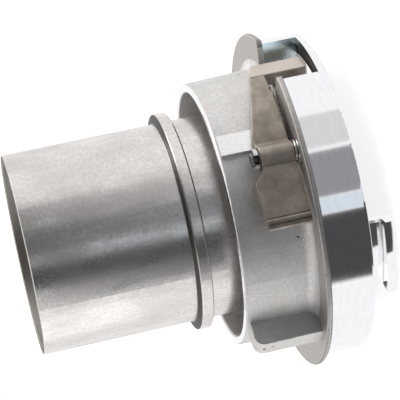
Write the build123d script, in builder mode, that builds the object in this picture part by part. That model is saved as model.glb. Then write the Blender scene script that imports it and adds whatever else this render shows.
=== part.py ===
from build123d import *
import os
from math import acos, atan2, cos, degrees, radians, sin, sqrt, tan

# A hose coupling of the claw type, with a smooth hose tail and a sprung locking lever.
# All sizes are in millimetres. Z is the coupling axis and Z = 0 is the sealing face, with
# the hose tail above it and the claws below. +X runs through the middle of one claw, and
# angles are counted from +X towards +Y. The other half of the joint turns by half a turn.

os.makedirs("parts", exist_ok=True)

# Hose tail
tail_length = 170.6
tail_outer_radius = 55.0
tail_wall = 4.5
tail_edge_chamfer = 0.4
collar_height = 5.2
collar_land = 6.5
collar_front = 79.3
collar_flank = 1.5
collar_edge_round = 0.8
land_tail_margin = 3.2
land_taper = 3.0
head_edge_chamfer = 0.6

# Sealing face, gasket and its groove
head_wall = 3.2
groove_wall = 3.5
groove_width = 8.2
groove_depth = 9.0
groove_lip = 1.1
groove_lip_height = 2.6
gasket_stand = 1.3
gasket_bore_step = 0.9
gasket_crest_inset = 2.0
gasket_crest_round = 1.0
gasket_lip_round = 0.6

# Claws
claw_step = 0.3
claw_neck_thickness = 5.6
claw_hook_reach = 7.0
claw_hook_start = 9.6
claw_length = 16.5
claw_angle = 32.5
claw_nose_chamfer = 1.8
claw_tip_chamfer = 0.8
claw_throat_fillet = 1.0
claw_lead_chamfer = 1.2

# Lug ring: front plate, windows, claw channel and ramps
rim_wall = 8.7
rim_front_round = 1.6
plate_thickness = 4.6
ramp_lead = 0.3
ramp_rise = 4.2
ramp_full_angle = 30.0
ramp_inset = 0.4
channel_start_angle = 17.5
stop_angle = 103.25
web_thickness = 7.0
skirt_space = 7.6
skirt_wall = 4.8
skirt_draft = 1.7
skirt_height = 65.7
skirt_lip_round = 0.9
skirt_inner_fillet = 3.0
flange_height = 4.3
flange_front = 24.4
flange_thickness = 3.0
flange_edge_round = 1.2
flange_root_fillet = 5.5

# Notch for the lever's bar
notch_start_angle = 76.15
notch_flange_end_angle = 99.0
notch_corner_round = 4.0

# Ribs and the flat pad on the skirt
rib_angle = -28.0
rib_height = 13.0
rib_width = 11.6
rib_root_width = 15.0
rib_rear_gap = 2.2
rib_corner_round = 5.5
rib_edge_round = 0.8
pad_angle = 59.15
pad_width = 11.6
pad_height = 2.6
pad_rear_gap = 1.3

# Lever and its pin
pivot_height = 7.65
pivot_angle = 48.95
pin_radius = 3.5
pin_seat_depth = 4.7
pin_chamfer = 0.5
pin_tip_length = 1.2
barrel_radius = 6.3
barrel_front = 29.8
barrel_length = 17.6
nose_radius = 5.0
spring_pocket_radius = 6.8
spring_pocket_floor = 24.0
arm_skirt_gap = 2.25
arm_thickness = 4.8
arm_rise = 1.7
arm_blend_radius = 2.0
arm_wide_angle = 57.3
arm_wide_height = 47.8
arm_narrow_angle = 85.3
arm_narrow_height = 37.6
bar_angle = 89.55
bar_width = 12.2
bar_tip_gap = 2.5
bar_rise = 1.8
bar_edge_round = 1.0
cast_edge_round = 0.5
thumb_outer_offset = 2.6
thumb_thickness = 3.2
thumb_length = 38.6
thumb_front = 29.3
thumb_width = 23.0
thumb_neck_end = 7.2
thumb_flare_end = 12.0
thumb_root = 1.0
thumb_neck_taper = 9.0
thumb_corner_round = 2.0
thumb_curl = 6.2
curl_crease = 0.4
curl_crest = 0.7
curl_dip = 1.5

# Torsion spring
wire_radius = 0.5
coil_radius = 6.0
coil_turns = 3
coil_pitch = 1.45
upper_leg_angle = 78.0
upper_leg_hook = 1.8
lower_leg_length = 17.0
lower_leg_hook = 3.8
leg_slot_width = 2.4

# Retaining clip and washer
washer_radius = 5.9
washer_thickness = 0.8
clip_radius = 5.7
clip_thickness = 0.9
clip_rim_height = 1.4
clip_rim_wall = 0.8
clip_groove_radius = 2.7
clip_mouth = 4.6
clip_bite_radius = 1.3
clip_bite_angle = 110.0
clip_turn = -20.0

# Snap ring and slide ring
snap_wire_radius = 1.5
snap_gap_angle = 8.0
snap_axial_gap = 0.3
slide_ring_thickness = 1.8

# Clearances
body_clearance = 0.8
window_spare_angle = 0.8
notch_floor_step = 1.1
swivel_clearance = 0.06
pin_clearance = 0.05
axial_play = 0.15
collar_pass_clearance = 0.4
claw_side_clearance = 1.1
claw_tip_clearance = 1.5
bar_floor_clearance = 0.3
gasket_clearance = 0.2
ring_clearance = 0.3
groove_clearance = 0.1
wire_clearance = 0.1
weld = 0.5

# Sizes that follow from the ones above
tail_bore_radius = tail_outer_radius - tail_wall
collar_radius = tail_outer_radius + collar_height
collar_rear = collar_front + collar_land
land_radius = collar_radius + collar_pass_clearance
groove_inner_radius = tail_bore_radius + groove_wall
groove_outer_radius = groove_inner_radius + groove_width
head_radius = groove_outer_radius + head_wall
body_inner_radius = head_radius + body_clearance
claw_inner_radius = body_inner_radius + claw_step
claw_neck_radius = claw_inner_radius + claw_neck_thickness
claw_head_radius = claw_neck_radius + claw_hook_reach
half_claw = claw_angle / 2
slot_radius = claw_neck_radius + claw_side_clearance
channel_radius = claw_head_radius + claw_side_clearance
web_front = claw_length + claw_tip_clearance
web_rear = web_front + web_thickness
rim_radius = channel_radius + rim_wall
web_bore_radius = land_radius + swivel_clearance
head_length = web_front - slide_ring_thickness - axial_play
snap_ring_radius = land_radius + groove_clearance
snap_height = web_rear + snap_axial_gap + snap_wire_radius
land_end = snap_height + snap_wire_radius + land_tail_margin
gasket_inner_radius = tail_bore_radius + gasket_bore_step
gasket_crest_radius = groove_outer_radius - gasket_crest_inset
gasket_shoulder = groove_lip_height + gasket_clearance
window_start_angle = stop_angle - claw_angle - window_spare_angle
skirt_bore_radius = land_radius + skirt_space
skirt_rear_radius = skirt_bore_radius + skirt_wall
flange_radius = rim_radius + flange_height
flange_rear = flange_front + flange_thickness
skirt_root_radius = skirt_rear_radius + (skirt_height - flange_rear) * tan(radians(skirt_draft))
rib_radius = skirt_rear_radius + rib_height
pad_distance = skirt_rear_radius + pad_height
fillet_top = flange_rear + flange_root_fillet
notch_floor_radius = skirt_root_radius + notch_floor_step
bar_inner_radius = notch_floor_radius + bar_floor_clearance
pivot_radius = skirt_root_radius + pivot_height
arm_inner_radius = skirt_root_radius + arm_skirt_gap
arm_outer_radius = arm_inner_radius + arm_thickness
bar_outer_radius = arm_outer_radius + bar_rise
bar_tip = plate_thickness + bar_tip_gap
barrel_rear = barrel_front + barrel_length
washer_front = barrel_rear + axial_play
washer_rear = washer_front + washer_thickness
clip_front = washer_rear + clip_rim_height
clip_rear = clip_front + clip_thickness
clip_bite_distance = clip_groove_radius + groove_clearance
pin_end = clip_rear + pin_tip_length
pin_base = spring_pocket_floor - pin_seat_depth
nose_front = spring_pocket_floor + axial_play
coil_start = spring_pocket_floor + wire_radius + wire_clearance


def polar(radius, angle):
    """A point across the axis, from its radius and its angle in degrees."""
    return (radius * cos(radians(angle)), radius * sin(radians(angle)))


def radial_plane(angle):
    """A plane through the axis: x runs outwards at this angle and y runs along +Z."""
    outward = polar(1, angle)
    return Plane(origin=(0, 0, 0), x_dir=(*outward, 0), z_dir=(outward[1], -outward[0], 0))


def corner(sketch, x, y):
    """The corner of a sketch that lies nearest to (x, y) in the sketch's own plane."""
    return sketch.vertices().sort_by_distance((x, y, 0))[0]


# Frame of the lever at its pin: "out" points away from the axis and "along" points round it
out_x, out_y = polar(1, pivot_angle)
pin_x, pin_y = polar(pivot_radius, pivot_angle)
pivot_axis = Axis((pin_x, pin_y, 0), (0, 0, 1))

# Frame of the spring at the pin: its x points inwards, where both of the legs leave the coil
leg_rise = arm_rise * (upper_leg_angle - pivot_angle) / (bar_angle - pivot_angle)
leg_hook_radius = arm_outer_radius + leg_rise + wire_radius + 2 * wire_clearance
leg_hook_x, leg_hook_y = polar(leg_hook_radius, upper_leg_angle)
leg_inwards = (pin_x - leg_hook_x) * out_x + (pin_y - leg_hook_y) * out_y
leg_along = (leg_hook_y - pin_y) * out_x - (leg_hook_x - pin_x) * out_y
leg_distance = sqrt(leg_inwards**2 + leg_along**2)
upper_leg_length = sqrt(leg_distance**2 - coil_radius**2)
leg_turn = degrees(acos(coil_radius / leg_distance) - atan2(leg_along, leg_inwards))
coil_height = coil_pitch * (coil_turns - leg_turn / 360)
coil_end = coil_start + coil_height


def spring_plane(height, turn=0):
    """A plane at the pin across the axis, with x from the pin inwards, turned by this angle."""
    return Plane(origin=(pin_x, pin_y, height), x_dir=(*polar(-1, pivot_angle + turn), 0))


# The ramp's plane is ramp_lead high at the window's edge and rises by ramp_rise to its full angle
ramp_edge = polar(1, window_start_angle)
ramp_run = channel_radius * sin(radians(window_start_angle - ramp_full_angle))
ramp_tilt = atan2(ramp_rise, ramp_run)
ramp_plane = Plane(
    origin=(0, 0, plate_thickness + ramp_lead),
    x_dir=(*ramp_edge, 0),
    z_dir=(-ramp_edge[1] * sin(ramp_tilt), ramp_edge[0] * sin(ramp_tilt), cos(ramp_tilt)),
)

# The arm's tail side is one slanted plane through its wide and its narrow end
arm_middle_angle = (arm_wide_angle + arm_narrow_angle) / 2
arm_half_chord = arm_outer_radius * sin(radians(arm_narrow_angle - arm_wide_angle) / 2)
arm_slope = atan2(arm_wide_height - arm_narrow_height, 2 * arm_half_chord)
arm_middle = polar(arm_outer_radius, arm_middle_angle)
arm_round = polar(1, arm_middle_angle + 90)
arm_slant = Plane(
    origin=(*arm_middle, (arm_wide_height + arm_narrow_height) / 2),
    z_dir=(arm_round[0] * sin(arm_slope), arm_round[1] * sin(arm_slope), cos(arm_slope)),
)


# Hose tail: a turned tube with a head for the gasket, a bearing land and a clamp collar
with BuildPart() as hose_tail:
    with BuildSketch(radial_plane(0)) as tail_profile:
        with BuildLine():
            Polyline(
                (tail_bore_radius, 0),
                (groove_inner_radius + groove_lip, 0),
                (groove_inner_radius + groove_lip, groove_lip_height),
                (groove_inner_radius, groove_lip_height + groove_lip),
                (groove_inner_radius, groove_depth),
                (groove_outer_radius, groove_depth),
                (groove_outer_radius, groove_lip_height + groove_lip),
                (groove_outer_radius - groove_lip, groove_lip_height),
                (groove_outer_radius - groove_lip, 0),
                (head_radius, 0),
                (head_radius, head_length),
                (land_radius, head_length),
                (land_radius, land_end),
                (tail_outer_radius, land_end + land_taper),
                (tail_outer_radius, collar_front),
                (collar_radius, collar_front),
                (collar_radius, collar_rear),
                (tail_outer_radius, collar_rear + collar_flank),
                (tail_outer_radius, tail_length),
                (tail_bore_radius, tail_length),
                close=True,
            )
        make_face()
        fillet(corner(tail_profile, collar_radius, collar_front), collar_edge_round)
        fillet(corner(tail_profile, collar_radius, collar_rear), collar_edge_round)
        chamfer(corner(tail_profile, head_radius, 0), head_edge_chamfer)
        chamfer(corner(tail_profile, tail_outer_radius, tail_length), tail_edge_chamfer)
        chamfer(corner(tail_profile, tail_bore_radius, tail_length), tail_edge_chamfer)
        with Locations((snap_ring_radius, snap_height)):
            Circle(snap_wire_radius + groove_clearance, mode=Mode.SUBTRACT)
    revolve(axis=Axis.Z)
hose_tail.part.label = "hose_tail"
export_step(hose_tail.part, "parts/hose_tail.step")

# Sealing gasket: a rubber ring that sits in the groove and stands proud with a rounded lip
with BuildPart() as gasket:
    with BuildSketch(radial_plane(0)) as gasket_profile:
        with BuildLine():
            Polyline(
                (groove_inner_radius + groove_lip + gasket_clearance, 0),
                (groove_inner_radius + groove_lip + gasket_clearance, gasket_shoulder),
                (groove_inner_radius + gasket_clearance, gasket_shoulder + groove_lip),
                (groove_inner_radius + gasket_clearance, groove_depth),
                (groove_outer_radius - gasket_clearance, groove_depth),
                (groove_outer_radius - gasket_clearance, gasket_shoulder + groove_lip),
                (groove_outer_radius - groove_lip - gasket_clearance, gasket_shoulder),
                (groove_outer_radius - groove_lip - gasket_clearance, 0),
                (gasket_crest_radius, -gasket_stand),
                (gasket_inner_radius, -gasket_stand),
                (gasket_inner_radius, 0),
                close=True,
            )
        make_face()
        fillet(corner(gasket_profile, gasket_crest_radius, -gasket_stand), gasket_crest_round)
        fillet(corner(gasket_profile, gasket_inner_radius, -gasket_stand), gasket_lip_round)
    revolve(axis=Axis.Z)
gasket.part.label = "sealing_gasket"
export_step(gasket.part, "parts/sealing_gasket.step")

# Snap ring: a split ring of round wire that keeps the lug ring on the tail
with BuildPart() as snap_ring:
    with BuildSketch(radial_plane(snap_gap_angle / 2)):
        with Locations((snap_ring_radius, snap_height)):
            Circle(snap_wire_radius)
    revolve(axis=Axis.Z, revolution_arc=360 - snap_gap_angle)
snap_ring.part.label = "snap_ring"
export_step(snap_ring.part, "parts/snap_ring.step")

# Slide ring: a flat plastic ring between the head of the tail and the web of the lug ring
with BuildPart() as slide_ring:
    with BuildSketch(Plane.XY.offset(web_front - slide_ring_thickness)):
        Circle(head_radius)
        Circle(land_radius + ring_clearance, mode=Mode.SUBTRACT)
    extrude(amount=slide_ring_thickness)
slide_ring.part.label = "slide_ring"
export_step(slide_ring.part, "parts/slide_ring.step")

# One claw: a neck with a hook that points outwards, drawn as a profile and turned about the axis
with BuildPart() as claw:
    with BuildSketch(radial_plane(-half_claw)) as claw_profile:
        with BuildLine():
            Polyline(
                (claw_inner_radius, plate_thickness / 2),
                (claw_inner_radius, -claw_length),
                (claw_head_radius, -claw_length),
                (claw_head_radius, -claw_hook_start),
                (claw_neck_radius, -claw_hook_start),
                (claw_neck_radius, plate_thickness / 2),
                close=True,
            )
        make_face()
        chamfer(corner(claw_profile, claw_head_radius, -claw_length), claw_nose_chamfer)
        chamfer(corner(claw_profile, claw_inner_radius, -claw_length), claw_tip_chamfer)
        fillet(corner(claw_profile, claw_neck_radius, -claw_hook_start), claw_throat_fillet)
    revolve(axis=Axis.Z, revolution_arc=claw_angle)
    hook_edges = claw.edges().filter_by(
        lambda edge: abs(edge.center().Z + claw_hook_start) < 0.1
        and edge.geom_type == GeomType.LINE
        and edge.length > claw_hook_reach / 2
    )
    chamfer(hook_edges, claw_lead_chamfer)

# One ramp: the tail side of the plate climbs away from the window, cut by one tilted plane
with BuildPart() as ramp:
    with BuildSketch(radial_plane(channel_start_angle)):
        with Locations((slot_radius + ramp_inset, plate_thickness - weld)):
            Rectangle(
                channel_radius - slot_radius - ramp_inset + weld,
                ramp_rise + 2 * weld,
                align=(Align.MIN, Align.MIN),
            )
    revolve(axis=Axis.Z, revolution_arc=(window_start_angle + stop_angle) / 2 - channel_start_angle)
    split(bisect_by=ramp_plane, keep=Keep.BOTTOM)

# One rib: a cast slab with drafted sides and a rounded rear corner
with BuildPart() as rib:
    with BuildSketch(Plane.XY.offset(flange_front)):
        with BuildLine():
            Polyline(
                (skirt_bore_radius + skirt_wall / 2, -rib_root_width / 2),
                (rib_radius, -rib_width / 2),
                (rib_radius, rib_width / 2),
                (skirt_bore_radius + skirt_wall / 2, rib_root_width / 2),
                close=True,
            )
        make_face()
    extrude(amount=skirt_height - rib_rear_gap - flange_front)
    rear_corner = rib.faces().sort_by(Axis.Z)[-1].edges().sort_by(Axis.X)[-1]
    fillet(rear_corner, rib_corner_round)
    outer_edges = rib.faces().sort_by(Axis.X)[-1].edges().filter_by(Axis.Z)
    fillet(outer_edges, rib_edge_round)

# Lug ring: one casting with skirt, flange, rim, plate, claws, ribs, pad and lever notch
with BuildPart() as lug_ring:
    with BuildSketch(radial_plane(0)) as ring_profile:
        with BuildLine():
            Polyline(
                (web_bore_radius, web_front),
                (channel_radius, web_front),
                (channel_radius, plate_thickness),
                (slot_radius, plate_thickness),
                (slot_radius, 0),
                (rim_radius, 0),
                (rim_radius, flange_front),
                (flange_radius, flange_front),
                (flange_radius, flange_rear),
                (skirt_root_radius, flange_rear),
                (skirt_rear_radius, skirt_height),
                (skirt_bore_radius, skirt_height),
                (skirt_bore_radius, web_rear),
                (web_bore_radius, web_rear),
                close=True,
            )
        make_face()
        fillet(corner(ring_profile, rim_radius, 0), rim_front_round)
        fillet(corner(ring_profile, flange_radius, flange_front), flange_edge_round)
        fillet(corner(ring_profile, flange_radius, flange_rear), flange_edge_round)
        fillet(corner(ring_profile, skirt_root_radius, flange_rear), flange_root_fillet)
        fillet(corner(ring_profile, skirt_rear_radius, skirt_height), skirt_lip_round)
        fillet(corner(ring_profile, skirt_bore_radius, skirt_height), skirt_lip_round)
        fillet(corner(ring_profile, skirt_bore_radius, web_rear), skirt_inner_fillet)
    revolve(axis=Axis.Z)

    # Solid sectors carry the claws and end the claw channels
    for start_angle in (stop_angle, stop_angle + 180):
        with BuildSketch(radial_plane(start_angle)):
            with Locations((body_inner_radius, 0)):
                Rectangle(
                    channel_radius + weld - body_inner_radius,
                    web_front + weld,
                    align=(Align.MIN, Align.MIN),
                )
        revolve(axis=Axis.Z, revolution_arc=180 - stop_angle + channel_start_angle)

    # The flat pad and the ribs stand on the skirt
    with BuildSketch(Plane.XY.offset(flange_front)):
        with Locations(Location((*polar(pad_distance, pad_angle), 0), (0, 0, pad_angle))):
            Rectangle(skirt_wall, pad_width, align=(Align.MAX, Align.CENTER))
    extrude(amount=skirt_height - pad_rear_gap - flange_front)
    for angle in (rib_angle, 180 - rib_angle):
        add(rib.part, rotation=(0, 0, angle))

    # Ramps behind the plate, cut off by the windows that take the claws of the other half
    for angle in (0, 180):
        add(ramp.part, rotation=(0, 0, angle))
    for start_angle in (window_start_angle, window_start_angle + 180):
        with BuildSketch(radial_plane(start_angle)):
            with Locations((slot_radius - weld, -weld)):
                Rectangle(
                    channel_radius - slot_radius + weld,
                    plate_thickness + 2 * weld,
                    align=(Align.MIN, Align.MIN),
                )
        revolve(axis=Axis.Z, revolution_arc=stop_angle - window_start_angle, mode=Mode.SUBTRACT)

    # Claws of this half
    for angle in (0, 180):
        add(claw.part, rotation=(0, 0, angle))

    # Notch for the lever's bar, wider in the rim than in the flange
    for bottom, top, end_angle in (
        (plate_thickness, flange_front, stop_angle),
        (flange_front - weld, fillet_top, notch_flange_end_angle),
    ):
        with BuildSketch(radial_plane(notch_start_angle)):
            with Locations((notch_floor_radius, bottom)):
                Rectangle(flange_radius, top - bottom, align=(Align.MIN, Align.MIN))
        revolve(axis=Axis.Z, revolution_arc=end_angle - notch_start_angle, mode=Mode.SUBTRACT)

    # The flange's two corners at the notch are rounded off
    for angle, side in ((notch_start_angle, -1), (notch_flange_end_angle, 1)):
        with BuildSketch(Plane((0, 0, flange_front - weld), (*polar(1, angle), 0))):
            with Locations((flange_radius - notch_corner_round, side * notch_corner_round)):
                Rectangle(
                    notch_corner_round + weld,
                    notch_corner_round + weld,
                    align=(Align.MIN, Align.MIN if side < 0 else Align.MAX),
                )
                Circle(notch_corner_round, mode=Mode.SUBTRACT)
        extrude(amount=flange_thickness + 2 * weld, mode=Mode.SUBTRACT)

    # Round pocket for the spring, a slot for each of its legs and the seat of the lever's pin
    with BuildSketch(Plane.XY.offset(spring_pocket_floor)):
        with Locations((pin_x, pin_y)):
            Circle(spring_pocket_radius)
    extrude(amount=fillet_top - spring_pocket_floor, mode=Mode.SUBTRACT)
    for floor, turn, end in (
        (spring_pocket_floor, 0, lower_leg_length),
        (coil_end - wire_radius - wire_clearance, leg_turn, -upper_leg_length),
    ):
        with BuildSketch(spring_plane(floor, turn)):
            with Locations((coil_radius, end / 2)):
                SlotCenterToCenter(abs(end), leg_slot_width, rotation=90)
        extrude(amount=fillet_top - floor, mode=Mode.SUBTRACT)
    with BuildSketch(Plane.XY.offset(pin_base)):
        with Locations((pin_x, pin_y)):
            Circle(pin_radius)
    extrude(amount=pin_seat_depth, mode=Mode.SUBTRACT)
lug_ring.part.label = "lug_ring"
export_step(lug_ring.part, "parts/lug_ring.step")

# Lever pin, pressed into the flange, with a groove for the clip
with BuildPart() as lever_pin:
    with BuildSketch(Plane((pin_x, pin_y, 0), (out_x, out_y, 0), (out_y, -out_x, 0))) as pin_profile:
        with BuildLine():
            Polyline(
                (0, pin_base),
                (pin_radius, pin_base),
                (pin_radius, clip_front),
                (clip_groove_radius, clip_front),
                (clip_groove_radius, clip_rear),
                (pin_radius, clip_rear),
                (pin_radius, pin_end),
                (0, pin_end),
                close=True,
            )
        make_face()
        chamfer(corner(pin_profile, pin_radius, pin_base), pin_chamfer)
        chamfer(corner(pin_profile, pin_radius, pin_end), pin_chamfer)
    revolve(axis=pivot_axis)
lever_pin.part.label = "lever_pin"
export_step(lever_pin.part, "parts/lever_pin.step")

# Washer and retaining clip at the end of the pin
with BuildPart() as washer:
    with BuildSketch(Plane.XY.offset(washer_front)):
        with Locations((pin_x, pin_y)):
            Circle(washer_radius)
            Circle(pin_radius + groove_clearance, mode=Mode.SUBTRACT)
    extrude(amount=washer_thickness)
washer.part.label = "washer"
export_step(washer.part, "parts/washer.step")

with BuildPart() as clip:
    clip_mouth_direction = (*polar(1, pivot_angle + clip_turn), 0)
    with BuildSketch(Plane((pin_x, pin_y, clip_front + groove_clearance), clip_mouth_direction)):
        Circle(clip_radius)
        Circle(clip_groove_radius + groove_clearance, mode=Mode.SUBTRACT)
        with Locations((clip_radius, 0)):
            Rectangle(2 * clip_radius, clip_mouth, mode=Mode.SUBTRACT)
        with PolarLocations(clip_bite_distance, 2, clip_bite_angle, 360 - 2 * clip_bite_angle):
            Circle(clip_bite_radius, mode=Mode.SUBTRACT)
    extrude(amount=clip_thickness - 2 * groove_clearance)

    # Its rim is turned towards the washer and open at the mouth as well
    with BuildSketch(Plane((pin_x, pin_y, washer_rear + groove_clearance), clip_mouth_direction)):
        Circle(clip_radius)
        Circle(clip_radius - clip_rim_wall, mode=Mode.SUBTRACT)
        with Locations((clip_radius, 0)):
            Rectangle(2 * clip_radius, clip_mouth, mode=Mode.SUBTRACT)
    extrude(amount=clip_rim_height)
clip.part.label = "retaining_clip"
export_step(clip.part, "parts/retaining_clip.step")

# Lever: a bar that drops into the notch, a tapered arm, a barrel on the pin and a thumb plate
with BuildPart() as lever:
    # The barrel turns on the pin, and the arm follows the skirt and rises a little towards the bar
    with BuildSketch(Plane.XY.offset(barrel_front)) as arm_section:
        with BuildLine():
            inner_arc = CenterArc((0, 0), arm_inner_radius, pivot_angle, bar_angle - pivot_angle)
            outer_arc = ThreePointArc(
                polar(arm_outer_radius, pivot_angle),
                polar(arm_outer_radius + arm_rise / 2, (pivot_angle + bar_angle) / 2),
                polar(arm_outer_radius + arm_rise, bar_angle),
            )
            Line(inner_arc @ 0, outer_arc @ 0)
            Line(inner_arc @ 1, outer_arc @ 1)
        make_face()
        with Locations((pin_x, pin_y)):
            Circle(barrel_radius)
        barrel_turn = degrees(barrel_radius / arm_outer_radius)
        fillet(corner(arm_section, *polar(arm_outer_radius, pivot_angle + barrel_turn)), arm_blend_radius)
    extrude(amount=barrel_length)

    # The bar lies along the axis and reaches into the rim, and one slanted cut ends both
    with BuildSketch(Plane.XY.offset(bar_tip)) as bar_section:
        with Locations(Location((*polar(bar_inner_radius, bar_angle), 0), (0, 0, bar_angle))):
            Rectangle(bar_outer_radius - bar_inner_radius, bar_width, align=(Align.MIN, Align.CENTER))
        fillet(bar_section.vertices().sort_by_distance((0, 0, 0))[-2:], bar_edge_round)
    extrude(amount=arm_narrow_height - bar_tip)
    split(bisect_by=arm_slant, keep=Keep.BOTTOM)

    # The nose at the front of the barrel carries the spring
    with BuildSketch(Plane.XY.offset(nose_front)):
        with Locations((pin_x, pin_y)):
            Circle(nose_radius)
    extrude(amount=barrel_front - nose_front)

    # The thumb plate is drawn from outside, with its neck at the barrel
    thumb_plane = Plane(
        origin=(pin_x + out_x * thumb_outer_offset, pin_y + out_y * thumb_outer_offset, 0),
        x_dir=(out_y, -out_x, 0),
        z_dir=(-out_x, -out_y, 0),
    )
    thumb_rear = thumb_front + thumb_width
    thumb_flat_end = thumb_length - thumb_curl
    curl_share = thumb_curl / 10
    with BuildSketch(thumb_plane) as thumb_outline:
        with BuildLine():
            Polyline(
                (thumb_root, barrel_front),
                (thumb_neck_taper, thumb_front),
                (thumb_flat_end, thumb_front),
                (thumb_flat_end, thumb_rear),
                (thumb_flare_end, thumb_rear),
                (thumb_neck_end, barrel_rear),
                (thumb_root, barrel_rear),
                close=True,
            )
        make_face()
        fillet(corner(thumb_outline, thumb_flare_end, thumb_rear), thumb_corner_round)
        fillet(corner(thumb_outline, thumb_neck_end, barrel_rear), thumb_corner_round)
    extrude(amount=thumb_thickness)

    # Its end curls over a crease, a bead and a dip to a thin lip
    inner_face = thumb_outer_offset - thumb_thickness
    bead = thumb_outer_offset + curl_crest
    dip = thumb_outer_offset - curl_dip
    with BuildSketch(Plane(origin=(pin_x, pin_y, thumb_front), x_dir=(out_x, out_y, 0))):
        with BuildLine():
            Line((inner_face, -thumb_flat_end), (thumb_outer_offset, -thumb_flat_end))
            crease = (thumb_outer_offset - curl_crease, -thumb_flat_end - curl_crease)
            Line((thumb_outer_offset, -thumb_flat_end), crease)
            bead_end = (thumb_outer_offset, -thumb_flat_end - curl_share * 5)
            ThreePointArc(crease, (bead, -thumb_flat_end - curl_share * 3), bead_end)
            lip = (thumb_outer_offset, -thumb_flat_end - curl_share * 9)
            ThreePointArc(bead_end, (dip, -thumb_flat_end - curl_share * 7.5), lip)
            tip = (dip, -thumb_length)
            Line(lip, tip)
            heel = (inner_face, -thumb_flat_end - curl_share * 4)
            ThreePointArc(tip, (inner_face + curl_crease, -thumb_flat_end - curl_share * 8), heel)
            Line(heel, (inner_face, -thumb_flat_end))
        make_face()
    extrude(amount=thumb_width)

    # Bore for the pin
    with BuildSketch(Plane.XY.offset(nose_front)):
        with Locations((pin_x, pin_y)):
            Circle(pin_radius + pin_clearance)
    extrude(amount=barrel_rear - nose_front, mode=Mode.SUBTRACT)

    # The long outer edges of the arm and the barrel and both ends of the bar are soft, as cast
    soft_spots = (
        (*arm_middle, (arm_wide_height + arm_narrow_height) / 2),
        (*arm_middle, barrel_front),
        (*polar(bar_outer_radius, bar_angle), arm_narrow_height - bar_width * tan(arm_slope) / 2),
        (pin_x + out_x * barrel_radius, pin_y + out_y * barrel_radius, barrel_rear),
    )
    soft_edges = [lever.edges().sort_by_distance(spot)[0] for spot in soft_spots]
    bar_end_edges = lever.faces().sort_by(Axis.Z)[0].edges()
    fillet(soft_edges + list(bar_end_edges), cast_edge_round)
lever.part.label = "lever"
export_step(lever.part, "parts/lever.step")

# Torsion spring: a coil round the lever's nose, one leg hooked over the arm and one at the skirt
with BuildPart() as torsion_spring:
    with BuildLine(spring_plane(coil_start)) as coil_line:
        Helix(pitch=coil_pitch, height=coil_height, radius=coil_radius, lefthand=True)
    coil_path = coil_line.wire()
    with BuildSketch(Plane(origin=coil_path @ 0, z_dir=coil_path % 0)):
        Circle(wire_radius)
    sweep(path=coil_path)
    for height, turn, end, hook in (
        (coil_start, 0, lower_leg_length, lower_leg_hook),
        (coil_end, leg_turn, -upper_leg_length, upper_leg_hook),
    ):
        leg_plane = spring_plane(height, turn)
        leg_root = leg_plane.from_local_coords((coil_radius, 0, 0))
        with BuildSketch(Plane(origin=leg_root, z_dir=leg_plane.y_dir)):
            Circle(wire_radius)
        extrude(amount=end)
        with BuildSketch(leg_plane.offset(-wire_radius)):
            with Locations((coil_radius, end)):
                Circle(wire_radius)
        extrude(amount=hook + wire_radius)
torsion_spring.part.label = "torsion_spring"
export_step(torsion_spring.part, "parts/torsion_spring.step")
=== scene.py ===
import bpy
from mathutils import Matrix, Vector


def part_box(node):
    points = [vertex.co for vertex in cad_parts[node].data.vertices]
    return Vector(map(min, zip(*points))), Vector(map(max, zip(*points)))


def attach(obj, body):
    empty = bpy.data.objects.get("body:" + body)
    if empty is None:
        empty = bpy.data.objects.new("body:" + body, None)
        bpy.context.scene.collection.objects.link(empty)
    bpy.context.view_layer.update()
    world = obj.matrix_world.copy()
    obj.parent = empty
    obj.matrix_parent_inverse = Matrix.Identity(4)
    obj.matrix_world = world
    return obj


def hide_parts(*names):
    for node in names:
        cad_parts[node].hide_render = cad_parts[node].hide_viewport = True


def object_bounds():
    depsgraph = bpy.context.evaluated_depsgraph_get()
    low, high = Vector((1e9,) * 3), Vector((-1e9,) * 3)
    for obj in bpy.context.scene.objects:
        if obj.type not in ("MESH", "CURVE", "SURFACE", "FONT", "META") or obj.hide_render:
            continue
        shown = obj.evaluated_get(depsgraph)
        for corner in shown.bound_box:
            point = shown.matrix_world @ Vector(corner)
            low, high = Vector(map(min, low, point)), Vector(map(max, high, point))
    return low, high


bl_info = {
    "name": "Claw Hose Coupling",
    "version": (1, 0, 0),
    "blender": (4, 5, 0),
    "location": "3D View > Sidebar > Coupling",
    "description": "Dresses a claw hose coupling with a locking lever in cast, turned and drawn metal",
    "category": "Add Mesh",
}

from math import cos, pi, radians, sin

import bpy
import numpy as np
from mathutils import Matrix, Vector

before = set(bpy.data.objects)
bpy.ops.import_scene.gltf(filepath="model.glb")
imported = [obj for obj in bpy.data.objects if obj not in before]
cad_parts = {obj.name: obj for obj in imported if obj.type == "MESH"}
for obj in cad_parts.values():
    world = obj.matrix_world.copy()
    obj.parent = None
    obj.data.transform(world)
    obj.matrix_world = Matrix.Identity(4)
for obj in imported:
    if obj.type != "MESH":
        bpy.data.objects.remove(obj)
cad_low, cad_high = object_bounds()

MM = 0.001

# Places on the lug ring that tell its finishes apart, in metres and degrees, from the CAD model
RING_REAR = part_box("lug_ring")[1].z
RIM_RADIUS = 88.9 * MM
FLANGE_FRONT = 24.4 * MM
FLANGE_REAR = 27.4 * MM
SKIRT_ROOT_RADIUS = 74.1 * MM
FILLET_TOP = 32.9 * MM
CHANNEL_RADIUS = 80.2 * MM
PLATE_THICKNESS = 4.6 * MM
PAD_ANGLE = 59.15
PAD_DISTANCE = 75.6 * MM
NOTCH_ANGLE = 89.7
NOTCH_HALF_WIDTH = 21.5 * MM

# Places on the hose tail
TAIL_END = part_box("hose_tail")[1].z
TAIL_RADIUS = 55.0 * MM
COLLAR_REAR = 85.8 * MM
FLANK_END = 87.3 * MM

# Outer face of the lever's bar, painted lighter as painted light
BAR_RADIUS = 82.99 * MM

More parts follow.
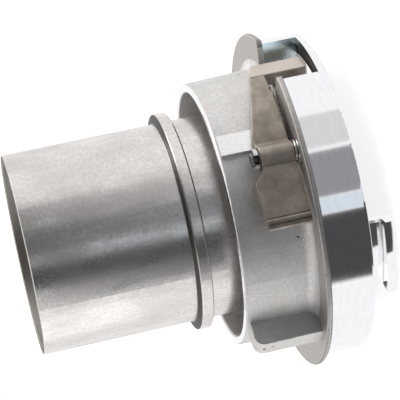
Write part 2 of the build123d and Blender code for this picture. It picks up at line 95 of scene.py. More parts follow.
# Places on the gasket
GASKET_LOW, GASKET_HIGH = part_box("sealing_gasket")


def linear(colour):
    """The linear RGBA of an sRGB hex colour such as "c9c8c6"."""
    parts = np.array([int(colour[i : i + 2], 16) for i in (0, 2, 4)]) / 255
    curved = ((parts + 0.055) / 1.055) ** 2.4
    return (*(float(part) for part in np.where(parts <= 0.04045, parts / 12.92, curved)), 1.0)


def add_node(tree, kind, links=(), stops=(), **settings):
    """Adds a node with links to its inputs. A setting is an attribute, or an input where it starts with in_."""
    node = tree.nodes.new(kind)
    for name, value in settings.items():
        if not name.startswith("in_"):
            setattr(node, name, value)
    for name, value in settings.items():
        if name.startswith("in_"):
            key = name[3:]
            node.inputs[int(key) if key.isdigit() else key.replace("_", " ")].default_value = value
    if stops:
        elements = node.color_ramp.elements
        while len(elements) < len(stops):
            elements.new(0.5)
        for element, (position, colour) in zip(elements, stops):
            element.position = position
            element.color = linear(colour)
    for socket, source in links:
        tree.links.new(source, node.inputs[socket])
    return node


def new_material(name):
    """An empty node material and its tree."""
    material = bpy.data.materials.new(name)
    material.use_nodes = True
    material.node_tree.nodes.clear()
    return material, material.node_tree


def finish_material(tree, shader):
    """Links a shader to the material's output."""
    output = tree.nodes.new("ShaderNodeOutputMaterial")
    tree.links.new(shader, output.inputs["Surface"])


def axis_places(tree):
    """Object place of a point, its distance from the coupling's axis and its height along it."""
    place = add_node(tree, "ShaderNodeTexCoord").outputs["Object"]
    parts = add_node(tree, "ShaderNodeSeparateXYZ", [(0, place)])
    across = add_node(tree, "ShaderNodeCombineXYZ", [(0, parts.outputs["X"]), (1, parts.outputs["Y"])])
    radius = add_node(tree, "ShaderNodeVectorMath", [(0, across.outputs[0])], operation="LENGTH")
    return place, radius.outputs["Value"], parts.outputs["Z"]


def within(tree, value, low, high, edge=0.15 * MM):
    """1 where a value lies between two limits and 0 outside, with a soft edge."""
    rise = add_node(
        tree, "ShaderNodeMapRange", [(0, value)], in_From_Min=low - edge, in_From_Max=low + edge
    )
    fall = add_node(
        tree, "ShaderNodeMapRange", [(0, value)], in_From_Min=high + edge, in_From_Max=high - edge
    )
    both = add_node(
        tree, "ShaderNodeMath", [(0, rise.outputs[0]), (1, fall.outputs[0])], operation="MULTIPLY"
    )
    return both.outputs[0]


def all_of(tree, *masks):
    """The product of masks: 1 only where each of them is."""
    result = masks[0]
    for mask in masks[1:]:
        node = add_node(tree, "ShaderNodeMath", [(0, result), (1, mask)], operation="MULTIPLY")
        result = node.outputs[0]
    return result


def any_of(tree, *masks):
    """The highest of masks: 1 where one of them is."""
    result = masks[0]
    for mask in masks[1:]:
        node = add_node(tree, "ShaderNodeMath", [(0, result), (1, mask)], operation="MAXIMUM")
        result = node.outputs[0]
    return result


def along_direction(tree, place, angle):
    """How far a point lies from the axis in one direction across it, at this angle in degrees."""
    direction = (cos(radians(angle)), sin(radians(angle)), 0)
    node = add_node(tree, "ShaderNodeVectorMath", [(0, place)], operation="DOT_PRODUCT", in_1=direction)
    return node.outputs["Value"]


def blotches(tree, place, size, low, high, stretch=(1, 1, 1)):
    """Soft cloudy change between two values, with patches of about this size in metres."""
    stretched = add_node(tree, "ShaderNodeMapping", [("Vector", place)], in_Scale=stretch)
    noise = add_node(
        tree, "ShaderNodeTexNoise", [("Vector", stretched.outputs[0])], in_Scale=1 / size, in_Detail=3.0
    )
    level = add_node(
        tree,
        "ShaderNodeMapRange",
        [(0, noise.outputs[0])],
        in_From_Min=0.32,
        in_From_Max=0.68,
        in_To_Min=low,
        in_To_Max=high,
    )
    return level.outputs[0]


def casting_pits(tree, place, spacing, pit_radius, share):
    """Height of small round pores, one in a share of the cells of a random pattern."""
    cells = add_node(tree, "ShaderNodeTexVoronoi", [("Vector", place)], in_Scale=1 / spacing)
    chosen = add_node(tree, "ShaderNodeSeparateColor", [(0, cells.outputs["Color"])])
    open_cell = add_node(
        tree, "ShaderNodeMath", [(0, chosen.outputs[0])], operation="LESS_THAN", in_1=share
    )
    dip = add_node(
        tree,
        "ShaderNodeMapRange",
        [(0, cells.outputs["Distance"])],
        in_From_Min=0.5 * pit_radius / spacing,
        in_From_Max=pit_radius / spacing,
        in_To_Min=1.0,
        in_To_Max=0.0,
        interpolation_type="SMOOTHSTEP",
    )
    return all_of(tree, open_cell.outputs[0], dip.outputs[0])


def tool_marks(tree, value, pitch):
    """Fine ridges of a turning tool, as noise along one value in metres."""
    line = add_node(tree, "ShaderNodeCombineXYZ", [(0, value)])
    noise = add_node(
        tree, "ShaderNodeTexNoise", [("Vector", line.outputs[0])], in_Scale=1 / pitch, in_Detail=2.0
    )
    return noise.outputs[0]


def mixed_value(tree, mask, low, high):
    """One of two values or sockets by a mask."""
    node = add_node(tree, "ShaderNodeMix", [(0, mask)])
    for socket, value in ((2, low), (3, high)):
        if isinstance(value, float):
            node.inputs[socket].default_value = value
        else:
            tree.links.new(value, node.inputs[socket])
    return node.outputs[0]


def mixed_colour(tree, mask, low, high, blend="MIX"):
    """One of two colours or sockets by a mask."""
    node = add_node(tree, "ShaderNodeMix", [(0, mask)], data_type="RGBA", blend_type=blend)
    for socket, colour in ((6, low), (7, high)):
        if isinstance(colour, bpy.types.NodeSocket):
            tree.links.new(colour, node.inputs[socket])
        else:
            node.inputs[socket].default_value = colour
    return node.outputs[2]


def raised(tree, normal, height, distance):
    """Bump from a height of 0 to 1 that stands for this distance in metres, on a normal or none."""
    links = [("Height", height)] if normal is None else [("Height", height), ("Normal", normal)]
    return add_node(tree, "ShaderNodeBump", links, in_Distance=distance).outputs[0]


# Cards that lie round the part, as (name, first angle, last angle, level): angles are in degrees from
# the camera's direction about +Z. They give plain metal something to mirror beside the white studio
CAMERA_ANGLE = 32.66
FLOOR_CARDS = (
    ("dark_card", -65, -16, "4a4a4c"),
    ("cool_card", -15, -5, "dae4ec"),
    ("grey_card", -4, 27, "959599"),
    ("pale_card", 30, 54, "dcdcdc"),
)
OPENING = (-42, 54, "1c1c1c")
CARD_REACH = 3.0


class CouplingFinishSettings(bpy.types.PropertyGroup):
    """Colours and marks of the metals, the rubber and the plastic."""

    cast_colour: bpy.props.FloatVectorProperty(
        name="Cast aluminium", description="Colour of the blasted casting", subtype="COLOR", size=4,
        min=0, max=1, default=linear("ebe9e8"),
    )
    turned_colour: bpy.props.FloatVectorProperty(
        name="Turned aluminium", description="Colour of the bright rim and claws", subtype="COLOR",
        size=4, min=0, max=1, default=linear("f8f8fa"),
    )
    tail_colour: bpy.props.FloatVectorProperty(
        name="Drawn aluminium", description="Colour of the hose tail", subtype="COLOR", size=4,
        min=0, max=1, default=linear("f2efed"),
    )
    lever_colour: bpy.props.FloatVectorProperty(
        name="Cast stainless steel", description="Colour of the lever", subtype="COLOR", size=4,
        min=0, max=1, default=linear("b6aca2"),
    )
    steel_colour: bpy.props.FloatVectorProperty(
        name="Bright steel", description="Colour of pin, clip and springs", subtype="COLOR", size=4,
        min=0, max=1, default=linear("d6d5d4"),
    )
    pin_colour: bpy.props.FloatVectorProperty(
        name="Turned steel", description="Colour of the oiled pin and washer", subtype="COLOR", size=4,
        min=0, max=1, default=linear("6f6b67"),
    )
    rubber_colour: bpy.props.FloatVectorProperty(
        name="Rubber", description="Colour of the gasket", subtype="COLOR", size=4,
        min=0, max=1, default=linear("232426"),
    )
    plastic_colour: bpy.props.FloatVectorProperty(
        name="Plastic", description="Colour of the slide ring", subtype="COLOR", size=4,
        min=0, max=1, default=linear("e4e0d4"),
    )
    cast_grain: bpy.props.FloatProperty(
        name="Casting grain", description="Grain left by blasting", default=0.9 * MM, unit="LENGTH"
    )
    pit_spacing: bpy.props.FloatProperty(
        name="Pit spacing", description="Distance between casting pores", default=11 * MM, unit="LENGTH"
    )
    turning_pitch: bpy.props.FloatProperty(
        name="Turning pitch", description="Distance between a tool's ridges", default=0.7 * MM,
        unit="LENGTH",
    )
    drawing_streak: bpy.props.FloatProperty(
        name="Drawing streaks", description="Width of the streaks along the tube", default=1.6 * MM,
        unit="LENGTH",
    )


class CouplingGasketSettings(bpy.types.PropertyGroup):
    """Section of the rubber gasket."""

    bore_radius: bpy.props.FloatProperty(
        name="Bore radius", description="Inside of the sealing lip", default=51.4 * MM, unit="LENGTH"
    )
    crest_radius: bpy.props.FloatProperty(
        name="Crest radius", description="Outside of the sealing lip", default=60.2 * MM, unit="LENGTH"
    )
    throat_inner: bpy.props.FloatProperty(
        name="Inner throat", description="Inside of the groove's mouth", default=55.3 * MM, unit="LENGTH"
    )
    throat_outer: bpy.props.FloatProperty(
        name="Outer throat", description="Outside of the groove's mouth", default=60.9 * MM, unit="LENGTH"
    )
    heel_inner: bpy.props.FloatProperty(
        name="Heel inside", description="Inside of the heel in the groove", default=54.2 * MM,
        unit="LENGTH",
    )
    shoulder: bpy.props.FloatProperty(
        name="Shoulder", description="Depth of the heel's shoulder", default=2.9 * MM, unit="LENGTH"
    )
    rib_depth: bpy.props.FloatProperty(
        name="Rib depth", description="Depth between the ribs of the face", default=0.35 * MM,
        unit="LENGTH",
    )
    rib_count: bpy.props.IntProperty(name="Ribs", description="Ribs on the sealing face", default=4)


class CouplingStageSettings(bpy.types.PropertyGroup):
    """Camera, floor and light."""

    azimuth: bpy.props.FloatProperty(
        name="Azimuth", description="Camera's angle round the part, in degrees", default=122.66
    )
    elevation: bpy.props.FloatProperty(
        name="Elevation", description="Camera's angle above the floor, in degrees", default=8.84
    )
    roll: bpy.props.FloatProperty(
        name="Roll", description="Camera's roll about its line of sight, in degrees", default=102.15
    )
    distance: bpy.props.FloatProperty(
        name="Distance", description="From the camera to its target", default=0.935, unit="LENGTH"
    )
    focal_length: bpy.props.FloatProperty(
        name="Focal length", description="Lens in millimetres on a 36 mm sensor", default=154.15
    )
    key_strength: bpy.props.FloatProperty(
        name="Key light", description="Power of the key lamp in watts", default=8.0
    )
    fill_strength: bpy.props.FloatProperty(
        name="Fill light", description="Power of the fill lamp in watts", default=1.0
    )
    floor_colour: bpy.props.FloatVectorProperty(
        name="Floor", description="Colour of the floor", subtype="COLOR", size=4, min=0, max=1,
        default=linear("a8a8a8"),
    )


def dress(material, *nodes):
    """Gives CAD nodes a material in their own slots."""
    for name in nodes:
        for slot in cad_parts[name].material_slots:
            slot.material = material


def lug_ring_metal(finish):
    """The casting's metal: blasted all over, and bright where a tool has been."""
    material, tree = new_material("sand_cast_and_turned_aluminium")
    place, radius, height = axis_places(tree)

    # Where each finish lies
    rim = all_of(
        tree,
        within(tree, radius, RIM_RADIUS - 4 * MM, RIM_RADIUS + 0.3 * MM),
        within(tree, height, -1 * MM, FLANGE_FRONT - 0.3 * MM),
    )
    claws_and_front = within(tree, height, cad_low.z - 1 * MM, 0.3 * MM)
    lip = within(tree, height, RING_REAR - 0.25 * MM, RING_REAR + 1 * MM, 0.05 * MM)
    pad = all_of(
        tree,
        within(tree, along_direction(tree, place, PAD_ANGLE), PAD_DISTANCE - 0.1 * MM, PAD_DISTANCE + 0.1 * MM, 0.05 * MM),
        within(tree, height, FILLET_TOP, RING_REAR),
    )
    painted_reflection_notch = all_of(
        tree,
        within(tree, along_direction(tree, place, NOTCH_ANGLE - 90), -NOTCH_HALF_WIDTH, NOTCH_HALF_WIDTH),
        within(tree, along_direction(tree, place, NOTCH_ANGLE), SKIRT_ROOT_RADIUS + 0.6 * MM, RIM_RADIUS - 0.4 * MM, 0.3 * MM),
        within(tree, height, PLATE_THICKNESS + 0.4 * MM, FLANGE_FRONT),
        within(tree, radius, 0, RIM_RADIUS - 0.25 * MM, 0.1 * MM),
    )
    painted_shade_plate_back = all_of(
        tree,
        within(tree, along_direction(tree, place, NOTCH_ANGLE - 90), -NOTCH_HALF_WIDTH, NOTCH_HALF_WIDTH),
        within(tree, along_direction(tree, place, NOTCH_ANGLE), SKIRT_ROOT_RADIUS, RIM_RADIUS),
        within(tree, height, PLATE_THICKNESS - 0.15 * MM, PLATE_THICKNESS + 0.15 * MM, 0.05 * MM),
    )
    flange_edge = all_of(
        tree,
        within(tree, height, FLANGE_FRONT - 0.5 * MM, FLANGE_REAR - 0.2 * MM),
        within(tree, radius, RIM_RADIUS + 0.3 * MM, cad_high.x),
    )
    bright = any_of(tree, rim, claws_and_front, lip)
    flange_back = all_of(
        tree,
        within(tree, height, FLANGE_REAR - 0.1 * MM, FLANGE_REAR + 0.1 * MM, 0.05 * MM),
        within(tree, radius, SKIRT_ROOT_RADIUS + 5.2 * MM, cad_high.x),
    )

    # Colour: cast with soft grey patches, bright metal slightly cooler
    patches = blotches(tree, place, 14 * MM, 0.0, 1.0)
    cast = mixed_colour(tree, patches, finish.cast_colour, linear("dcd9d6"))
    speckle = blotches(tree, place, 1.5 * MM, 0.0, 0.4)
    cast = mixed_colour(tree, speckle, cast, linear("bcb9b7"))
    pits = casting_pits(tree, place, finish.pit_spacing, 0.95 * MM, 1.0)
    cast = mixed_colour(tree, pits, cast, linear("3a3836"))
    faced = mixed_colour(tree, tool_marks(tree, radius, finish.turning_pitch), linear("e0dcd8"), linear("85817d"))
    colour = mixed_colour(tree, flange_back, cast, faced)
    colour = mixed_colour(tree, flange_edge, colour, linear("a3a09d"))
    smudges = blotches(tree, place, 7 * MM, 0.0, 1.0, (1, 1, 3))
    turned = mixed_colour(tree, smudges, finish.turned_colour, linear("f2f2f4"))
    colour = mixed_colour(tree, bright, colour, turned)
    colour = mixed_colour(tree, pad, colour, linear("ffffff"))
    # Painted reflection: the walls of the notch are painted a pale bluish white that stands in for a bright
    # reflection
    colour = mixed_colour(tree, painted_reflection_notch, colour, linear("ecf8fd"))
    # Painted shade: the rear face of the front plate, inside the notch, is painted dark grey
    colour = mixed_colour(tree, painted_shade_plate_back, colour, linear("4c4c4c"))

    # Gloss: blasted metal scatters, a turned rim mirrors, a milled pad lies between
    roughness = mixed_value(tree, patches, 0.62, 0.52)
    roughness = mixed_value(tree, flange_back, roughness, 0.5)
    streaks = tool_marks(tree, height, finish.turning_pitch)
    roughness = mixed_value(tree, bright, roughness, mixed_value(tree, streaks, 0.07, 0.15))
    roughness = mixed_value(tree, pad, roughness, 0.26)
    roughness = mixed_value(tree, painted_reflection_notch, roughness, 0.18)

    # Relief: grain, pores and the tool's ridges
    grain = add_node(
        tree, "ShaderNodeTexNoise", [("Vector", place)], in_Scale=1 / finish.cast_grain, in_Detail=3.0
    )
    rough_only = add_node(tree, "ShaderNodeMath", [(1, bright)], operation="SUBTRACT", in_0=1.0)
    grain_height = all_of(tree, grain.outputs[0], rough_only.outputs[0])
    normal = raised(tree, None, grain_height, 0.09 * MM)
    pit_depth = add_node(
        tree, "ShaderNodeMath", [(0, all_of(tree, pits, rough_only.outputs[0]))], operation="MULTIPLY", in_1=-1.0
    )
    normal = raised(tree, normal, pit_depth.outputs[0], 0.5 * MM)
    ridges = all_of(tree, tool_marks(tree, radius, finish.turning_pitch), flange_back)
    normal = raised(tree, normal, ridges, 0.06 * MM)

    shader = add_node(
        tree,
        "ShaderNodeBsdfPrincipled",
        [("Base Color", colour), ("Roughness", roughness), ("Normal", normal)],
        in_Metallic=1.0,
    )
    finish_material(tree, shader.outputs[0])
    return material


def hose_tail_metal(finish):
    """Drawn tube: satin, with streaks along it, cloudy patches and a few scratches."""
    material, tree = new_material("drawn_aluminium")
    place, radius, height = axis_places(tree)
    clouds = blotches(tree, place, 16 * MM, 0.0, 1.0, (1, 1, 0.55))
    streaks = blotches(tree, place, finish.drawing_streak, 0.0, 0.25, (1, 1, 0.06))
    speckle = blotches(tree, place, 1.7 * MM, 0.0, 0.38)
    colour = mixed_colour(tree, clouds, finish.tail_colour, linear("dcd7d5"))
    colour = mixed_colour(tree, streaks, colour, linear("c8c4c3"))
    colour = mixed_colour(tree, speckle, colour, linear("b9b4b1"))
    # Scratches are pores drawn out four times along the tube
    drawn = add_node(tree, "ShaderNodeMapping", [("Vector", place)], in_Scale=(1, 1, 0.25))
    scratch = casting_pits(tree, drawn.outputs[0], 13 * MM, 0.7 * MM, 0.8)
    colour = mixed_colour(tree, scratch, colour, linear("57504b"))

    # The collar's rear flank is left rough from the tool, and its dark colour is painted shade
    painted_shade_flank = all_of(
        tree,
        within(tree, height, COLLAR_REAR - 0.1 * MM, FLANK_END),
        within(tree, radius, TAIL_RADIUS + 0.1 * MM, cad_high.x),
    )
    colour = mixed_colour(tree, painted_shade_flank, colour, linear("585653"))
    # Painted shade: the tube's open end is painted dark, and its reflection is tinted dark too
    end = all_of(
        tree,
        within(tree, height, TAIL_END - 0.1 * MM, TAIL_END + 1 * MM),
        within(tree, radius, 0, TAIL_RADIUS - 0.5 * MM),
    )
    colour = mixed_colour(tree, end, colour, linear("4a4845"))
    painted_shade_edge_tint = mixed_colour(tree, end, linear("ffffff"), linear("202020"))
    bore = within(tree, radius, 0, TAIL_RADIUS - 1 * MM)
    colour = mixed_colour(tree, bore, colour, linear("b0aca6"))

    roughness = mixed_value(tree, clouds, 0.2, 0.32)
    roughness = mixed_value(tree, any_of(tree, painted_shade_flank, bore), roughness, 0.55)
    grain = add_node(tree, "ShaderNodeTexNoise", [("Vector", place)], in_Scale=1 / (1.1 * MM), in_Detail=2.0)
    normal = raised(tree, None, grain.outputs[0], 0.02 * MM)
    normal = raised(tree, normal, streaks, 0.02 * MM)
    shader = add_node(
        tree,
        "ShaderNodeBsdfPrincipled",
        [
            ("Base Color", colour),
            ("Roughness", roughness),
            ("Specular Tint", painted_shade_edge_tint),
            ("Normal", normal),
        ],
        in_Metallic=1.0,
    )
    finish_material(tree, shader.outputs[0])
    return material


def lever_metal(finish):
    """Investment-cast stainless steel, blasted: warm, matt and finely grained, with darker patches."""
    material, tree = new_material("investment_cast_stainless_steel")
    place, radius, height = axis_places(tree)
    patches = blotches(tree, place, 9 * MM, 0.0, 1.0)
    fine = blotches(tree, place, 2.2 * MM, 0.0, 1.0)
    colour = mixed_colour(tree, patches, finish.lever_colour, linear("978d83"))
    colour = mixed_colour(tree, mixed_value(tree, fine, 0.0, 0.3), colour, linear("8a8178"))
    # Painted light: the outer face of the bar is painted lighter than the rest of the lever
    painted_light_bar_face = within(tree, radius, BAR_RADIUS - 0.15 * MM, BAR_RADIUS + 1 * MM, 0.1 * MM)
    colour = mixed_colour(tree, painted_light_bar_face, colour, linear("d9cfc6"))
    grain = add_node(
        tree, "ShaderNodeTexNoise", [("Vector", place)], in_Scale=1 / (0.9 * MM), in_Detail=3.0
    )
    normal = raised(tree, None, grain.outputs[0], 0.07 * MM)
    shader = add_node(
        tree,
        "ShaderNodeBsdfPrincipled",
        [("Base Color", colour), ("Roughness", mixed_value(tree, patches, 0.48, 0.58)), ("Normal", normal)],
        in_Metallic=1.0,
    )
    finish_material(tree, shader.outputs[0])
    return material


def bright_steel(name, colour, roughness):
    """Drawn or turned stainless steel: bright, with fine marks that change its gloss."""
    material, tree = new_material(name)
    place, radius, height = axis_places(tree)
    gloss = blotches(tree, place, 1.2 * MM, roughness, roughness + 0.12)
    shader = add_node(
        tree,
        "ShaderNodeBsdfPrincipled",
        [("Roughness", gloss)],
        in_Base_Color=colour,
        in_Metallic=1.0,
    )
    finish_material(tree, shader.outputs[0])
    return material


def moulded_rubber(finish):
    """Moulded nitrile rubber: nearly black, matt, with a faint dusty bloom."""
    material, tree = new_material("moulded_nitrile_rubber")
    place, radius, height = axis_places(tree)
    bloom = blotches(tree, place, 5 * MM, 0.0, 0.35)
    colour = mixed_colour(tree, bloom, finish.rubber_colour, linear("4a4a4c"))
    grain = add_node(
        tree, "ShaderNodeTexNoise", [("Vector", place)], in_Scale=1 / (0.6 * MM), in_Detail=2.0
    )
    shader = add_node(
        tree,
        "ShaderNodeBsdfPrincipled",
        [("Base Color", colour), ("Normal", raised(tree, None, grain.outputs[0], 0.03 * MM))],
        in_Roughness=0.62,
    )
    finish_material(tree, shader.outputs[0])
    return material


def moulded_plastic(finish):
    """Moulded acetal: off-white, smooth and a little waxy."""
    material, tree = new_material("moulded_acetal")
    place, radius, height = axis_places(tree)
    tint = blotches(tree, place, 8 * MM, 0.0, 0.3)
    colour = mixed_colour(tree, tint, finish.plastic_colour, linear("cfc9b8"))
    shader = add_node(
        tree, "ShaderNodeBsdfPrincipled", [("Base Color", colour)], in_Roughness=0.4
    )
    finish_material(tree, shader.outputs[0])
    return material


def closed_ring_mesh(name, section, count):
    """A section of (radius, height) points carried once round the Z axis, closed both ways.

    Point (i, j) is (r_j cos a_i, r_j sin a_i, z_j) with a_i = 2 pi i / count. The section runs so that
    its left side is outside, which makes the faces point outwards.
    """
    angles = np.linspace(0, 2 * pi, count, endpoint=False)[:, None]
    radius, height = section[None, :, 0], section[None, :, 1]
    points = np.stack((radius * np.cos(angles), radius * np.sin(angles), height + 0 * angles), axis=2)
    size = len(section)
    first, second = np.meshgrid(np.arange(count), np.arange(size), indexing="ij")
    first_next, second_next = (first + 1) % count, (second + 1) % size
    faces = np.stack(
        (
            first * size + second,
            first_next * size + second,
            first_next * size + second_next,
            first * size + second_next,
        ),
        axis=2,
    )
    mesh = bpy.data.meshes.new(name)
    mesh.from_pydata(points.reshape(-1, 3), [], faces.reshape(-1, 4))
    mesh.update()
    mesh.shade_smooth()
    return mesh


def rounded_corners(corners, cut, steps=6):
    """Corners of a line, each turned into a quadratic curve that starts and ends at a cut's distance."""
    before = np.roll(corners, 1, axis=0) - corners
    after = np.roll(corners, -1, axis=0) - corners
    start = corners + before / np.linalg.norm(before, axis=1, keepdims=True) * cut[:, None]
    end = corners + after / np.linalg.norm(after, axis=1, keepdims=True) * cut[:, None]
    share = np.linspace(0, 1, steps)[None, :, None]
    curve = (1 - share) ** 2 * start[:, None] + 2 * share * (1 - share) * corners[:, None]
    return (curve + share**2 * end[:, None]).reshape(-1, 2)


def gasket_section(settings):
    """Section of the gasket: a ribbed sealing lip, a throat and a heel with shoulders.

    The face between the ribs is a cosine of the radius that only ever cuts into the rubber.
    """
    face, heel = GASKET_LOW.z, GASKET_HIGH.z
    outer = GASKET_HIGH.x
    slope = settings.throat_inner - settings.heel_inner
    corners = np.array(
        [
            (settings.crest_radius, face),
            (settings.throat_outer, 0.0),
            (settings.throat_outer, settings.shoulder),
            (outer, settings.shoulder + slope),
            (outer, heel),
            (settings.heel_inner, heel),
            (settings.heel_inner, settings.shoulder + slope),
            (settings.throat_inner, settings.shoulder),
            (settings.throat_inner, 0.0),
            (settings.bore_radius, 0.0),
            (settings.bore_radius, face),
        ]
    )
    cuts = np.array([0.8, 0.3, 0.25, 0.4, 0.5, 0.5, 0.4, 0.25, 0.15, 0.3, 0.5]) * MM
    outline = rounded_corners(corners, cuts)
    inset = 0.9 * MM
    radius = np.linspace(settings.bore_radius + inset, settings.crest_radius - inset, 48)
    phase = (radius - radius[0]) / (radius[-1] - radius[0]) * settings.rib_count * 2 * pi
    ribs = np.stack((radius, face + settings.rib_depth * (1 - np.cos(phase)) / 2), axis=1)
    return np.concatenate((outline, ribs))


class COUPLING_OT_lug_ring(bpy.types.Operator):
    """Gives the lug ring its cast, turned, faced and milled surfaces"""

    bl_idname = "coupling.lug_ring"
    bl_label = "Lug ring"

    def execute(self, context):
        dress(lug_ring_metal(context.scene.coupling_finish), "lug_ring")
        return {"FINISHED"}


class COUPLING_OT_hose_tail(bpy.types.Operator):
    """Gives the hose tail its drawn and turned surface"""

    bl_idname = "coupling.hose_tail"
    bl_label = "Hose tail"

    def execute(self, context):
        dress(hose_tail_metal(context.scene.coupling_finish), "hose_tail")
        return {"FINISHED"}


class COUPLING_OT_lever(bpy.types.Operator):
    """Gives the locking lever its cast surface"""

    bl_idname = "coupling.lever"
    bl_label = "Locking lever"

    def execute(self, context):
        dress(lever_metal(context.scene.coupling_finish), "lever")
        return {"FINISHED"}


class COUPLING_OT_fixings(bpy.types.Operator):
    """Gives the pin, the washer and the clip of the lever their bright steel"""

    bl_idname = "coupling.fixings"
    bl_label = "Pin, washer and clip"

    def execute(self, context):
        finish = context.scene.coupling_finish
        dress(bright_steel("turned_stainless_steel", finish.pin_colour, 0.3), "lever_pin", "washer")
        dress(bright_steel("stamped_spring_steel", finish.steel_colour, 0.16), "retaining_clip")
        return {"FINISHED"}


class COUPLING_OT_springs(bpy.types.Operator):
    """Gives the torsion spring and the snap ring their drawn wire"""

    bl_idname = "coupling.springs"
    bl_label = "Spring and snap ring"

    def execute(self, context):
        finish = context.scene.coupling_finish
        dress(bright_steel("drawn_spring_wire", finish.steel_colour, 0.2), "torsion_spring", "snap_ring")
        return {"FINISHED"}


class COUPLING_OT_slide_ring(bpy.types.Operator):
    """Gives the slide ring its plastic"""

    bl_idname = "coupling.slide_ring"
    bl_label = "Slide ring"

    def execute(self, context):
        dress(moulded_plastic(context.scene.coupling_finish), "slide_ring")
        return {"FINISHED"}


class COUPLING_OT_gasket(bpy.types.Operator):
    """Makes the rubber gasket with its ribbed lip"""

    bl_idname = "coupling.gasket"
    bl_label = "Gasket"

    def execute(self, context):
        section = gasket_section(context.scene.coupling_gasket)
        mesh = closed_ring_mesh("ribbed_gasket", section, 240)
        mesh.materials.append(moulded_rubber(context.scene.coupling_finish))
        gasket = bpy.data.objects.new("ribbed_gasket", mesh)
        context.scene.collection.objects.link(gasket)
        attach(gasket, "hose_tail")
        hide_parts("sealing_gasket")
        return {"FINISHED"}


class COUPLING_OT_stage(bpy.types.Operator):
    """Makes the floor, the studio light and the camera"""

    bl_idname = "coupling.stage"
    bl_label = "Stage"

    def execute(self, context):
        settings = context.scene.coupling_stage
        make_world(context.scene)
        make_floor(context.scene, settings)
        make_cards(context.scene)
        make_lamp(context.scene, "key", settings.key_strength, (-0.6, 0.9, 0.85))
        make_lamp(context.scene, "fill", settings.fill_strength, (0.55, -1.1, 0.3))
        make_camera(context.scene, settings)
        context.scene.view_settings.view_transform = "Standard"
        return {"FINISHED"}


def make_world(scene):
    """World: plain white at a strength of 1 to every ray."""
    world = bpy.data.worlds.new("studio")
    scene.world = world
    world.use_nodes = True
    tree = world.node_tree
    tree.nodes.clear()
    glow = add_node(tree, "ShaderNodeBackground", in_Color=(1, 1, 1, 1))
    output = tree.nodes.new("ShaderNodeOutputWorld")
    tree.links.new(glow.outputs[0], output.inputs["Surface"])


def make_floor(scene, settings):
    """Floor under the claw tips: white to the camera with its shadow, and plain white in reflections."""
    half = 8.0
    height = cad_low.z
    corners = [(-half, -half, height), (half, -half, height), (half, half, height), (-half, half, height)]
    mesh = bpy.data.meshes.new("floor")
    mesh.from_pydata(corners, [], [(0, 1, 2, 3)])
    floor = bpy.data.objects.new("floor", mesh)
    scene.collection.objects.link(floor)
    material, tree = new_material("pale_floor")
    path = add_node(tree, "ShaderNodeLightPath")
    paint = add_node(tree, "ShaderNodeBsdfDiffuse", in_Color=settings.floor_colour)
    lift = add_node(tree, "ShaderNodeEmission", in_Strength=0.8)
    shown = add_node(tree, "ShaderNodeAddShader", [(0, paint.outputs[0]), (1, lift.outputs[0])])
    white = add_node(tree, "ShaderNodeEmission", in_Strength=1.0)
    to_camera = add_node(
        tree,
        "ShaderNodeMixShader",
        [("Fac", path.outputs["Is Camera Ray"]), (1, paint.outputs[0]), (2, shown.outputs[0])],
    )
    mirrored = any_of(tree, path.outputs["Is Glossy Ray"], path.outputs["Is Transmission Ray"])
    seen = add_node(
        tree,
        "ShaderNodeMixShader",
        [("Fac", mirrored), (1, to_camera.outputs[0]), (2, white.outputs[0])],
    )
    finish_material(tree, seen.outputs[0])
    mesh.materials.append(material)


def make_card(scene, name, points, faces, level):
    """Card of one level that shows in reflections only and throws no shadow."""
    mesh = bpy.data.meshes.new(name)
    mesh.from_pydata(points, [], faces)
    material, tree = new_material(name + "_paint")
    finish_material(tree, add_node(tree, "ShaderNodeEmission", in_Color=linear(level)).outputs[0])
    mesh.materials.append(material)
    card = bpy.data.objects.new(name, mesh)
    scene.collection.objects.link(card)
    card.visible_camera = False
    card.visible_diffuse = False
    card.visible_shadow = False


def make_cards(scene):
    """Cards on the floor and the tent's dark opening at the camera's side.

    A card's side at angle a leaves the rim where the rim's normal is at a / 2 and runs outwards at a,
    so the rim mirrors it as a straight edge. The opening is a part of a cylinder.
    """
    for name, first, last, level in FLOOR_CARDS:
        sides = np.radians(np.array([first, last]))
        rim = RIM_RADIUS * np.exp(1j * (sides / 2 + radians(CAMERA_ANGLE)))
        away = np.exp(1j * (sides + radians(CAMERA_ANGLE)))
        ends = np.concatenate((rim, (rim + CARD_REACH * away)[::-1]))
        height = np.full(4, cad_low.z + 0.5 * MM)
        make_card(scene, name, np.stack((ends.real, ends.imag, height), axis=1), [(0, 1, 2, 3)], level)
    first, last, level = OPENING
    turns = np.radians(np.linspace(first, last, 25) + CAMERA_ANGLE)
    low = np.stack((CARD_REACH * np.cos(turns), CARD_REACH * np.sin(turns), 0 * turns), axis=1)
    points = np.concatenate((low, low + np.array([0, 0, 2 * CARD_REACH])))
    step = np.arange(24)
    faces = np.stack((step, step + 1, step + 26, step + 25), axis=1)
    make_card(scene, "tent_opening", points, faces, level)


def make_lamp(scene, name, strength, place):
    """Soft square lamp that looks at the middle of the part."""
    data = bpy.data.lights.new(name, "AREA")
    data.energy = strength
    data.size = 0.8
    lamp = bpy.data.objects.new(name, data)
    scene.collection.objects.link(lamp)
    place = Vector(place)
    lamp.location = place
    lamp.rotation_mode = "QUATERNION"
    lamp.rotation_quaternion = (Vector((0, 0, 0.05)) - place).to_track_quat("-Z", "Y")


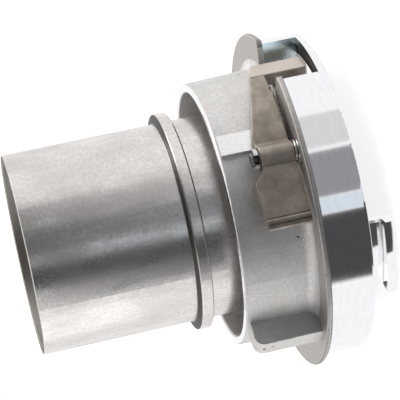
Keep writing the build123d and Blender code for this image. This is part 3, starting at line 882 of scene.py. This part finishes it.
def make_camera(scene, settings):
    """Camera at the photograph's angle, from azimuth, elevation, roll and distance."""
    azimuth = radians(settings.azimuth)
    elevation = radians(settings.elevation)
    roll = radians(settings.roll)
    back = Vector((sin(azimuth) * cos(elevation), -cos(azimuth) * cos(elevation), sin(elevation)))
    level_up = (Vector((0, 0, 1)) - back * back.z).normalized()
    level_right = level_up.cross(back)
    up = level_up * cos(roll) + level_right * sin(roll)
    right = up.cross(back)
    data = bpy.data.cameras.new("camera")
    data.lens = settings.focal_length
    data.sensor_width = 36
    data.clip_start = 0.05
    data.clip_end = 50
    camera = bpy.data.objects.new("camera", data)
    scene.collection.objects.link(camera)
    target = Vector((0.00025, 0.0108, 0.0701))
    turn = Matrix((right, up, back)).transposed().to_4x4()
    camera.matrix_world = Matrix.Translation(target + back * settings.distance) @ turn
    scene.camera = camera


class COUPLING_PT_panel(bpy.types.Panel):
    """Lists the coupling's operators in the sidebar"""

    bl_label = "Coupling"
    bl_idname = "COUPLING_PT_panel"
    bl_space_type = "VIEW_3D"
    bl_region_type = "UI"
    bl_category = "Coupling"

    def draw(self, context):
        for operator in OPERATORS:
            self.layout.operator(operator.bl_idname)


OPERATORS = (
    COUPLING_OT_lug_ring,
    COUPLING_OT_hose_tail,
    COUPLING_OT_lever,
    COUPLING_OT_fixings,
    COUPLING_OT_springs,
    COUPLING_OT_slide_ring,
    COUPLING_OT_gasket,
    COUPLING_OT_stage,
)
SETTINGS = {
    "coupling_finish": CouplingFinishSettings,
    "coupling_gasket": CouplingGasketSettings,
    "coupling_stage": CouplingStageSettings,
}


def register():
    for item in (*SETTINGS.values(), *OPERATORS, COUPLING_PT_panel):
        bpy.utils.register_class(item)
    for name, group in SETTINGS.items():
        setattr(bpy.types.Scene, name, bpy.props.PointerProperty(type=group))


def unregister():
    for name in SETTINGS:
        delattr(bpy.types.Scene, name)
    for item in (COUPLING_PT_panel, *reversed(OPERATORS), *SETTINGS.values()):
        bpy.utils.unregister_class(item)


def main():
    register()
    bpy.ops.coupling.lug_ring()
    bpy.ops.coupling.hose_tail()
    bpy.ops.coupling.lever()
    bpy.ops.coupling.fixings()
    bpy.ops.coupling.springs()
    bpy.ops.coupling.slide_ring()
    bpy.ops.coupling.gasket()
    bpy.ops.coupling.stage()


if __name__ == "__main__":
    main()
